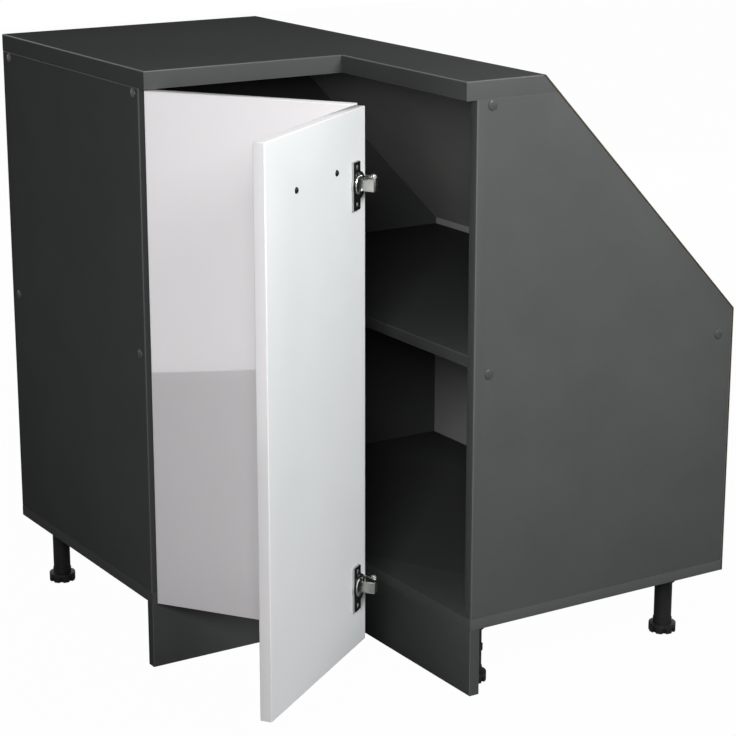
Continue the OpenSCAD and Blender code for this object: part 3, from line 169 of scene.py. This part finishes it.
finishes = {
    # melamine-faced particle board, pearl embossed: even dark grey, soft sheen
    "blackMelamine": {"dark": "#535454", "light": "#575858", "speck": "#606161", "speckShare": 0.25,
                      "cloudSize": 90 * mm, "grainSize": 1.6 * mm, "roughness": 0.8, "roughSpread": 0.03,
                      "relief": 0.12, "reliefDepth": 0.05 * mm, "specular": 0.006},
    # the scraped rounding of the boards' edge band: the same grey in ABS, polished by the tool
    "edgeBand": {"dark": "#5d5e5e", "light": "#626363", "speck": "#6a6b6b", "speckShare": 0.15,
                 "cloudSize": 60 * mm, "grainSize": 0.9 * mm, "roughness": 0.3, "roughSpread": 0.04,
                 "relief": 0.06, "reliefDepth": 0.03 * mm, "specular": 0.3},
    # painted shade: the same melamine a shade darker, standing in for shade on the plinths, the front bands,
    # the shelf's front edges and the top's face
    "darkMelamine": {"dark": "#4a4b4b", "light": "#4d4e4e", "speck": "#565757", "speckShare": 0.25,
                     "cloudSize": 90 * mm, "grainSize": 1.6 * mm, "roughness": 0.8, "roughSpread": 0.03,
                     "relief": 0.12, "reliefDepth": 0.05 * mm, "specular": 0.006},
    # white gloss lacquer on the leaves' fronts: a deep clear coat that mirrors the studio
    "whiteGloss": {"dark": "#fcf8fb", "light": "#fefafd", "speck": "#f9f5f8", "speckShare": 0.2,
                   "cloudSize": 160 * mm, "grainSize": 3.0 * mm, "roughness": 0.1, "roughSpread": 0.02,
                   "relief": 0.015, "reliefDepth": 0.03 * mm, "specular": 1.0,
                   "coat": 1.0, "coatRoughness": 0.02, "coatIor": 2.5},
    # the leaves' bands and rounded edges: white ABS, buffed but without the clear coat, so lighter
    "whiteBand": {"dark": "#f6f4f6", "light": "#f9f7f9", "speck": "#f3f1f3", "speckShare": 0.2,
                  "cloudSize": 80 * mm, "grainSize": 1.2 * mm, "roughness": 0.12, "roughSpread": 0.02,
                  "relief": 0.03, "reliefDepth": 0.03 * mm, "ior": 1.6, "specular": 1.0},
    # plain white melamine on the leaves' backs, fine pearl relief
    "whiteBack": {"dark": "#e8ebec", "light": "#ebeeef", "speck": "#e1e4e5", "speckShare": 0.25,
                  "cloudSize": 120 * mm, "grainSize": 1.4 * mm, "roughness": 0.5, "roughSpread": 0.03,
                  "relief": 0.08, "reliefDepth": 0.04 * mm, "specular": 0.4},
    # thin hardboard, printed a lighter grey than the boards: flatter sheen, coarser screen relief
    "printedHardboard": {"dark": "#b2b2b2", "light": "#b9b9b8", "speck": "#c0c0bf", "speckShare": 0.3,
                         "cloudSize": 70 * mm, "grainSize": 2.0 * mm, "roughness": 0.75, "roughSpread": 0.04,
                         "relief": 0.2, "reliefDepth": 0.08 * mm, "specular": 0.1},
    # the hardboard's sawn edges, where the brown fibre shows
    "rawFibre": {"dark": "#3c372e", "light": "#474136", "speck": "#5a5142", "speckShare": 0.4,
                 "cloudSize": 20 * mm, "grainSize": 0.8 * mm, "roughness": 0.85, "roughSpread": 0.04,
                 "relief": 0.3, "reliefDepth": 0.08 * mm, "specular": 0.05},
    # injection-moulded black ABS and polypropylene: fine spark-eroded grain
    "mouldedBlack": {"dark": "#1b1b1c", "light": "#212122", "speck": "#2a2a2b", "speckShare": 0.3,
                     "cloudSize": 25 * mm, "grainSize": 0.8 * mm, "roughness": 0.5, "roughSpread": 0.05,
                     "relief": 0.2, "reliefDepth": 0.05 * mm, "specular": 0.2},
    # the hinge covers: the same plastic, polished in the mould
    "polishedBlack": {"dark": "#131413", "light": "#181918", "speck": "#1f201f", "speckShare": 0.15,
                      "cloudSize": 12 * mm, "grainSize": 0.6 * mm, "roughness": 0.16, "roughSpread": 0.03,
                      "relief": 0.03, "reliefDepth": 0.02 * mm, "specular": 0.15},
    # screw caps, moulded a little darker than the boards but shiny
    "capPlastic": {"dark": "#484949", "light": "#4b4c4c", "speck": "#535454", "speckShare": 0.2,
                   "cloudSize": 8 * mm, "grainSize": 0.5 * mm, "roughness": 0.3, "roughSpread": 0.03,
                   "relief": 0.05, "reliefDepth": 0.02 * mm, "specular": 0.32},
    # light grey die-cast zinc, dull plated
    "castGrey": {"dark": "#a3a5a4", "light": "#acaead", "speck": "#8f9190", "speckShare": 0.25,
                 "cloudSize": 18 * mm, "grainSize": 0.7 * mm, "roughness": 0.42, "roughSpread": 0.05,
                 "relief": 0.15, "reliefDepth": 0.04 * mm, "metallic": 0.35, "specular": 0.5},
    # pressed steel, bright nickel plate: a mirror dulled by the press
    "nickelPlate": {"dark": "#b5b5b2", "light": "#c1c1be", "speck": "#a8a8a5", "speckShare": 0.2,
                    "cloudSize": 14 * mm, "grainSize": 0.9 * mm, "roughness": 0.22, "roughSpread": 0.03,
                    "relief": 0.04, "reliefDepth": 0.02 * mm, "metallic": 1.0, "specular": 0.5},
    # the same plate where bends and rims are polished
    "polishedNickel": {"dark": "#efefed", "light": "#f4f4f2", "speck": "#e4e4e2", "speckShare": 0.15,
                       "cloudSize": 10 * mm, "grainSize": 0.6 * mm, "roughness": 0.14, "roughSpread": 0.03,
                       "relief": 0.03, "reliefDepth": 0.02 * mm, "metallic": 1.0, "specular": 0.5},
    # screws and pins: passivated zinc, greyer and duller than nickel
    "zincPlate": {"dark": "#9fa3a6", "light": "#b3b6b8", "speck": "#8d9194", "speckShare": 0.25,
                  "cloudSize": 6 * mm, "grainSize": 0.5 * mm, "roughness": 0.34, "roughSpread": 0.05,
                  "relief": 0.1, "reliefDepth": 0.02 * mm, "metallic": 1.0, "specular": 0.5},
    # handle screws: blackened steel
    "blackenedSteel": {"dark": "#2c2d2e", "light": "#353637", "speck": "#414243", "speckShare": 0.2,
                       "cloudSize": 5 * mm, "grainSize": 0.5 * mm, "roughness": 0.3, "roughSpread": 0.05,
                       "relief": 0.08, "reliefDepth": 0.02 * mm, "metallic": 1.0, "specular": 0.5},
    # planed beech dowels
    "beech": {"dark": "#b98e62", "light": "#cda578", "speck": "#9d7349", "speckShare": 0.4,
              "cloudSize": 9 * mm, "grainSize": 1.0 * mm, "roughness": 0.62, "roughSpread": 0.05,
              "relief": 0.2, "reliefDepth": 0.05 * mm, "specular": 0.35},
}

materials = {name: surfaceMaterial(name, finish) for name, finish in finishes.items()}

slotFinish = {
    "black_board": "blackMelamine",
    "hardboard": "printedHardboard",
    "white_board": "whiteGloss",
    "beech": "beech",
    "black_plastic": "mouldedBlack",
    "grey_metal": "castGrey",
    "nickel": "nickelPlate",
    "zinc": "zincPlate",
}

nodeSlot = {entry["node"]: entry["material_slot"] for entry in frame["record"]["subparts"]}
nodeBody = {node: body for body, nodes in frame["record"]["behaviour"]["bodies"].items() for node in nodes}

# Nodes whose finish differs from the rest of their slot
ownFinish = {
    "screw_caps": "capPlastic",
    "fold_cup_covers": "polishedBlack",
    "fold_cup_rings": "polishedNickel",
    "handle_screws": "blackenedSteel",
    # the plinths: painted shade, the boards' melamine a shade darker
    "plinth_left": "darkMelamine",
    "plinth_right": "darkMelamine",
}


def finishOf(node):
    return ownFinish.get(node, slotFinish[nodeSlot[node]])


def dress(piece, finish):
    piece.data.materials.clear()
    piece.data.materials.append(materials[finish])


for name, node in frame["nodes"].items():
    dress(node, finishOf(name))
print("materials on all nodes")


def selectOnly(piece):
    bpy.ops.object.select_all(action="DESELECT")
    piece.select_set(True)
    bpy.context.view_layer.objects.active = piece


def applyModifier(piece, kind, settings):
    selectOnly(piece)
    modifier = piece.modifiers.new(kind, kind)
    for key, value in settings.items():
        setattr(modifier, key, value)
    bpy.ops.object.modifier_apply(modifier=modifier.name)


def camel(name):
    first, *rest = name.split("_")
    return first + "".join(word.capitalize() for word in rest)


# Points nearer than `together` are one, and faces within `flat` degrees are one face
merging = {"together": 0.004 * mm, "flat": 0.4}
smoothAngle = math.radians(32)


def mergedCopy(node, suffix):
    # A copy of a node's loose triangles, merged to clean flat faces
    mesh = frame["nodes"][node].data.copy()
    piece = bpy.data.objects.new(camel(node) + suffix, mesh)
    bpy.context.scene.collection.objects.link(piece)
    selectOnly(piece)
    bpy.ops.mesh.customdata_custom_splitnormals_clear()
    bpy.ops.object.mode_set(mode="EDIT")
    bpy.ops.mesh.select_all(action="SELECT")
    bpy.ops.mesh.remove_doubles(threshold=merging["together"])
    bpy.ops.mesh.dissolve_limited(angle_limit=math.radians(merging["flat"]))
    bpy.ops.object.mode_set(mode="OBJECT")
    return piece


def weighEdges(piece, rounded, wide=None):
    # Marks the edges to be rounded: long enough, and not inside a smooth curve. Where `wide`
    # says no to an edge's middle, the edge gets only the narrow share of the rounding
    work = bmesh.new()
    work.from_mesh(piece.data)
    layers = work.edges.layers.float
    layer = layers.get("bevel_weight_edge") or layers.new("bevel_weight_edge")
    sharpest = math.radians(rounded["sharpest"])
    for edge in work.edges:
        if len(edge.link_faces) == 2 and edge.calc_length() > rounded["shortest"]:
            middle = (edge.verts[0].co + edge.verts[1].co) / 2
            share = 1.0 if wide is None or wide(middle) else rounded["narrowShare"]
            edge[layer] = share if edge.calc_face_angle(0) > sharpest else 0.0
    work.to_mesh(piece.data)
    work.free()


def soften(node, rounded, wide=None, reshape=None, edgeFinish=None):
    # The node again with its edges rounded, as a tool or a band leaves them, where wished
    # with another finish on the rounding
    piece = mergedCopy(node, "Soft")
    dress(piece, finishOf(node))
    if edgeFinish:
        piece.data.materials.append(materials[edgeFinish])
    if reshape:
        reshape(piece)
    weighEdges(piece, rounded, wide)
    applyModifier(piece, "BEVEL", {"width": rounded["width"], "segments": rounded["segments"],
                                   "limit_method": "WEIGHT", "use_clamp_overlap": True,
                                   "material": 1 if edgeFinish else -1})
    selectOnly(piece)
    bpy.ops.object.shade_smooth_by_angle(angle=smoothAngle)
    finishPiece(piece, node)
    return piece


def finishPiece(piece, node):
    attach(piece, nodeBody[node])
    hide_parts(node)


# Only edges longer than `shortest` and sharper than `sharpest` degrees are rounded
rounding = {
    "board": {"width": 0.7 * mm, "segments": 2, "shortest": 45 * mm, "sharpest": 30},
    "moulded": {"width": 0.5 * mm, "segments": 2, "shortest": 1.0 * mm, "sharpest": 35},
    "sheet": {"width": 0.3 * mm, "segments": 2, "shortest": 0.8 * mm, "sharpest": 35},
}

softNodes = {
    "board": ["rear_panel", "plinth_left", "plinth_right"],
    "moulded": ["top_connector_blocks", "shelf_connector_blocks", "plinth_corner_bracket", "plinth_clips",
                "leg_plates"],
    "sheet": ["swing_hinge_plates", "swing_hinge_arms", "swing_hinge_cranks", "swing_hinge_links",
              "fold_hinge_plates", "fold_arms_left", "fold_arms_right", "swing_hinge_cups"],
}

for kind, names in softNodes.items():
    for name in names:
        soften(name, rounding[kind], edgeFinish="edgeBand" if kind == "board" else None)
    print("softened:", kind)

soften("bottom_panel", rounding["board"])
topBoard = soften("top_board", rounding["board"], edgeFinish="edgeBand")
shelf = soften("shelf", rounding["board"], edgeFinish="edgeBand")

# The side panels' front edges carry a thick band, rounded by 2 mm, their other edges less
bandEdge = {"width": 1.9 * mm, "segments": 4, "shortest": 45 * mm, "sharpest": 30, "narrowShare": 0.35}
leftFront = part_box("left_side_panel")[0].y + 1 * mm
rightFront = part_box("right_side_panel")[0].x + 1 * mm
leftSide = soften("left_side_panel", bandEdge, lambda middle: middle.y < leftFront, edgeFinish="edgeBand")
rightSide = soften("right_side_panel", bandEdge, lambda middle: middle.x < rightFront, edgeFinish="edgeBand")

# From this cosine on, a face's normal counts as one with a direction
facing = 0.999


def paintFaces(piece, finish, chosen):
    # Another finish on the faces whose normals are chosen
    piece.data.materials.append(materials[finish])
    for face in piece.data.polygons:
        if chosen(face.normal):
            face.material_index = len(piece.data.materials) - 1


# Painted shade: the top's face, the shelf's front edges and the side panels' front bands get the darker copy
# of the melamine
paintFaces(topBoard, "darkMelamine", lambda normal: normal.z > facing)
paintFaces(shelf, "darkMelamine", lambda normal: min(normal.x, normal.y) < -facing)
paintFaces(leftSide, "darkMelamine", lambda normal: normal.y < -facing)
paintFaces(rightSide, "darkMelamine", lambda normal: normal.x < -facing)
print("darker bands and top")


def sawnEdges(node):
    # The thin back panels show raw fibre all round their printed faces, on the mitres too
    piece = mergedCopy(node, "Sawn")
    printed = max(piece.data.polygons, key=lambda face: face.area).normal.copy()
    dress(piece, finishOf(node))
    paintFaces(piece, "rawFibre", lambda normal: abs(normal.dot(printed)) < 0.9)
    finishPiece(piece, node)


sawnEdges("sloped_back_panel")
sawnEdges("right_back_panel")

# The leaves: gloss lacquer on the fronts, white bands, plain melamine on the backs
leafEdge = {"width": 1.2 * mm, "segments": 3, "shortest": 10 * mm, "sharpest": 20}


def makeLeaf(node, back):
    piece = soften(node, leafEdge)
    paintFaces(piece, "whiteBand", lambda normal: abs(normal.dot(back)) < facing)
    paintFaces(piece, "whiteBack", lambda normal: normal.dot(back) > facing)


# Where the leaves' backs face, with the door open as in the photo
openAngle = math.radians(55)
leftBack = Vector((math.sin(openAngle), math.cos(openAngle), 0))
rightBack = Vector((math.cos(openAngle), -math.sin(openAngle), 0))
makeLeaf("door_leaf_left", leftBack)
makeLeaf("door_leaf_right", rightBack)
print("door leaves")

# The hood of each fold hinge: pressed sheet with generous bends that shine
hoodEdge = {"width": 1.5 * mm, "segments": 3, "shortest": 5 * mm, "sharpest": 50}
soften("fold_hinge_hoods", hoodEdge, edgeFinish="polishedNickel")

# The ears of the fold hinges' cups and covers have nearly square corners in the photo, so
# the solids' cut corners move outwards. Heights are those of the two hinges
ears = {"heights": (185.5 * mm, 727 * mm), "reach": 40 * mm, "solidCut": 4 * mm, "shownCut": 1.2 * mm,
        "near": 0.05 * mm}


def squareEars(piece):
    along = leftBack      # the right leaf runs the way that the left one's back faces
    more = ears["solidCut"] - ears["shownCut"]
    near = ears["near"]
    for height in ears["heights"]:
        vertices = [v for v in piece.data.vertices if abs(v.co.z - height) < ears["reach"]]
        top = max(abs(v.co.z - height) for v in vertices)
        ends = [v for v in vertices if abs(v.co.z - height) > top - near]
        places = [v.co.dot(along) for v in ends]
        middle = (min(places) + max(places)) / 2
        half = max(places) - middle
        sides = [v for v in vertices if abs(abs(v.co.z - height) - top + ears["solidCut"]) < near
                 and abs(abs(v.co.dot(along) - middle) - half - ears["solidCut"]) < near]
        for vertex in sides:
            vertex.co.z += math.copysign(more, vertex.co.z - height)
        for vertex in ends:
            if abs(abs(vertex.co.dot(along) - middle) - half) < near:
                vertex.co += along * math.copysign(more, vertex.co.dot(along) - middle)


soften("fold_cup_covers", rounding["moulded"], reshape=squareEars)
soften("fold_hinge_cups", rounding["sheet"], reshape=squareEars)
print("fold hinges")

handleEdge = {"width": 0.3 * mm, "segments": 1, "shortest": 30 * mm, "sharpest": 80}
soften("handle", handleEdge)

# Feet: a pad with eight key notches open below, a threaded stem, and a thin sleeve that
# runs up round the tube and hides the gap between tube and pad
foot = {
    "count": 6, "facets": 64,
    "padRadius": 20 * mm, "padHeight": 12.8 * mm, "edge": 0.6 * mm, "edgeAngle": 35,
    "notches": 8, "notchWidth": 5.4 * mm, "notchDepth": 3.2 * mm, "notchHeight": 7.5 * mm,
    "firstNotch": 0.35,   # of the way from one notch to the next
    "sleeveRadius": 13.9 * mm, "sleeveBore": 13.2 * mm, "sleeveTop": 21 * mm,
    "stemRadius": 9.3 * mm, "sunk": 0.5 * mm,
    "threadFrom": 16.5 * mm, "crest": 0.62 * mm, "pitch": 2.5 * mm, "turns": 14, "stepsPerTurn": 40,
}


def cylinder(radius, low, high):
    bpy.ops.object.select_all(action="DESELECT")
    bpy.ops.mesh.primitive_cylinder_add(vertices=foot["facets"], radius=radius, depth=high - low,
                                        location=(0, 0, (low + high) / 2))
    bpy.ops.object.transform_apply(location=True, rotation=True, scale=True)
    return bpy.context.active_object


def joined(pieces):
    bpy.ops.object.select_all(action="DESELECT")
    for piece in pieces:
        piece.select_set(True)
    bpy.context.view_layer.objects.active = pieces[0]
    bpy.ops.object.join()
    return pieces[0]


def cutAway(piece, cutter):
    applyModifier(piece, "BOOLEAN", {"operation": "DIFFERENCE", "object": cutter, "solver": "EXACT"})
    bpy.data.objects.remove(cutter)


def notchedPad():
    pad = cylinder(foot["padRadius"], 0, foot["padHeight"])
    teeth = []
    for number in range(foot["notches"]):
        bpy.ops.object.select_all(action="DESELECT")
        bpy.ops.mesh.primitive_cube_add(size=1)
        tooth = bpy.context.active_object
        tooth.scale = (2 * foot["notchDepth"], foot["notchWidth"], 2 * foot["notchHeight"])
        around = 2 * math.pi * (number + foot["firstNotch"]) / foot["notches"]
        tooth.location = (foot["padRadius"] * math.cos(around), foot["padRadius"] * math.sin(around), 0)
        tooth.rotation_euler.z = around
        bpy.ops.object.transform_apply(location=True, rotation=True, scale=True)
        teeth.append(tooth)
    cutAway(pad, joined(teeth))
    applyModifier(pad, "BEVEL", {"width": foot["edge"], "segments": 2, "limit_method": "ANGLE",
                                 "angle_limit": math.radians(foot["edgeAngle"]),
                                 "use_clamp_overlap": True})
    return pad


def threadCoil():
    # A three-cornered crest wound round the stem
    turns = foot["turns"]
    bpy.ops.object.select_all(action="DESELECT")
    bpy.ops.mesh.primitive_circle_add(vertices=3, radius=foot["crest"], fill_type="NGON",
                                      location=(foot["stemRadius"], 0, foot["threadFrom"]),
                                      rotation=(math.radians(90), 0, 0))
    thread = bpy.context.active_object
    bpy.ops.object.transform_apply(location=True, rotation=True, scale=True)
    applyModifier(thread, "SCREW", {"angle": 2 * math.pi * turns, "screw_offset": foot["pitch"] * turns,
                                    "steps": foot["stepsPerTurn"] * turns,
                                    "render_steps": foot["stepsPerTurn"] * turns,
                                    "use_merge_vertices": True})
    bpy.ops.object.mode_set(mode="EDIT")
    bpy.ops.mesh.select_all(action="SELECT")
    bpy.ops.mesh.normals_make_consistent(inside=False)
    bpy.ops.object.mode_set(mode="OBJECT")
    return thread


def makeFeet():
    # Made once at the origin, then copied to each foot's place
    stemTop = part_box("foot_1")[1].z
    sunkLow = foot["padHeight"] - foot["sunk"]
    sleeve = cylinder(foot["sleeveRadius"], sunkLow, foot["sleeveTop"])
    cutAway(sleeve, cylinder(foot["sleeveBore"], foot["padHeight"], foot["sleeveTop"] + 1 * mm))
    model = joined([notchedPad(), sleeve, cylinder(foot["stemRadius"], sunkLow, stemTop), threadCoil()])
    bpy.ops.object.shade_smooth_by_angle(angle=smoothAngle)
    for number in range(1, foot["count"] + 1):
        node = f"foot_{number}"
        low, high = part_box(node)
        piece = bpy.data.objects.new(camel(node) + "Threaded", model.data.copy())
        bpy.context.scene.collection.objects.link(piece)
        piece.data.transform(Matrix.Translation(((low.x + high.x) / 2, (low.y + high.y) / 2, low.z)))
        dress(piece, finishOf(node))
        finishPiece(piece, node)
    bpy.data.objects.remove(model)


makeFeet()
print("feet")


def raysSeeing(tree, weights):
    # Light Path outputs, each by its weight, and the greatest of them
    rays = addNode(tree, "ShaderNodeLightPath")
    greatest = None
    for ray, weight in weights.items():
        part = addNode(tree, "ShaderNodeMath", {"operation": "MULTIPLY", 1: weight}, {0: rays.outputs[ray]})
        if greatest is not None:
            part = addNode(tree, "ShaderNodeMath", {"operation": "MAXIMUM"},
                           {0: greatest.outputs[0], 1: part.outputs[0]})
        greatest = part
    return greatest.outputs[0]


def makeStage():
    low, high = floorPlace["low"], floorPlace["high"]
    bpy.ops.mesh.primitive_plane_add(size=1)
    floor = bpy.context.active_object
    floor.name = "studioFloor"
    floor.scale = (high[0] - low[0], high[1] - low[1], 1)
    floor.location = ((low[0] + high[0]) / 2, (low[1] + high[1]) / 2, 0)
    bpy.ops.object.transform_apply(location=True, rotation=True, scale=True)
    material, tree, output = newMaterial("paleFloor")
    share = raysSeeing(tree, {"Is Camera Ray": floorPlace["cameraShare"],
                              "Is Glossy Ray": floorPlace["glossyShare"],
                              "Is Transmission Ray": floorPlace["cameraShare"]})
    shown = addNode(tree, "ShaderNodeEmission", {"Color": white, "Strength": lighting["background"]})
    diffuse = addNode(tree, "ShaderNodeBsdfDiffuse", {"Color": hexColour(floorPlace["colour"])})
    mix = addNode(tree, "ShaderNodeMixShader", None,
                  {0: share, 1: diffuse.outputs["BSDF"], 2: shown.outputs["Emission"]})
    tree.links.new(mix.outputs["Shader"], output.inputs["Surface"])
    floor.data.materials.append(material)


def makeWorld():
    world = bpy.data.worlds.new("studio")
    bpy.context.scene.world = world
    world.use_nodes = True
    tree = world.node_tree
    tree.nodes.clear()
    seen = raysSeeing(tree, {"Is Camera Ray": 1, "Is Glossy Ray": 1, "Is Transmission Ray": 1})
    strength = addNode(tree, "ShaderNodeMapRange",
                       {"To Min": lighting["ambient"], "To Max": lighting["background"]}, {"Value": seen})
    background = addNode(tree, "ShaderNodeBackground", {"Color": white},
                         {"Strength": strength.outputs["Result"]})
    output = addNode(tree, "ShaderNodeOutputWorld")
    tree.links.new(background.outputs["Background"], output.inputs["Surface"])


def addLamp(name, wanted):
    light = bpy.data.lights.new(name, "AREA")
    light.shape = "SQUARE"
    light.size = wanted["size"]
    light.energy = wanted["power"]
    lamp = bpy.data.objects.new(name, light)
    bpy.context.scene.collection.objects.link(lamp)
    lamp.location = wanted["from"]
    aim = Vector(wanted["to"]) - Vector(wanted["from"])
    lamp.rotation_euler = aim.to_track_quat("-Z", "Y").to_euler()
    lamp.visible_glossy = wanted["glossy"]


def makeCamera():
    camera = bpy.data.cameras.new("photoCamera")
    camera.lens = cameraPlace["lens"]
    camera.sensor_width = cameraPlace["sensor"]
    camera.clip_end = cameraPlace["farthest"]
    holder = bpy.data.objects.new("photoCamera", camera)
    bpy.context.scene.collection.objects.link(holder)
    turn = Matrix.Rotation(-math.radians(cameraPlace["yaw"]), 4, "Z")
    lift = Matrix.Rotation(math.radians(90 + cameraPlace["pitch"]), 4, "X")
    holder.matrix_world = Matrix.Translation(cameraPlace["location"]) @ turn @ lift
    bpy.context.scene.camera = holder


makeStage()
makeWorld()
for lampName, lamp in lighting["lamps"].items():
    addLamp(lampName, lamp)
makeCamera()
bpy.context.scene.view_settings.view_transform = "Standard"
print("stage, lamps and camera in place")
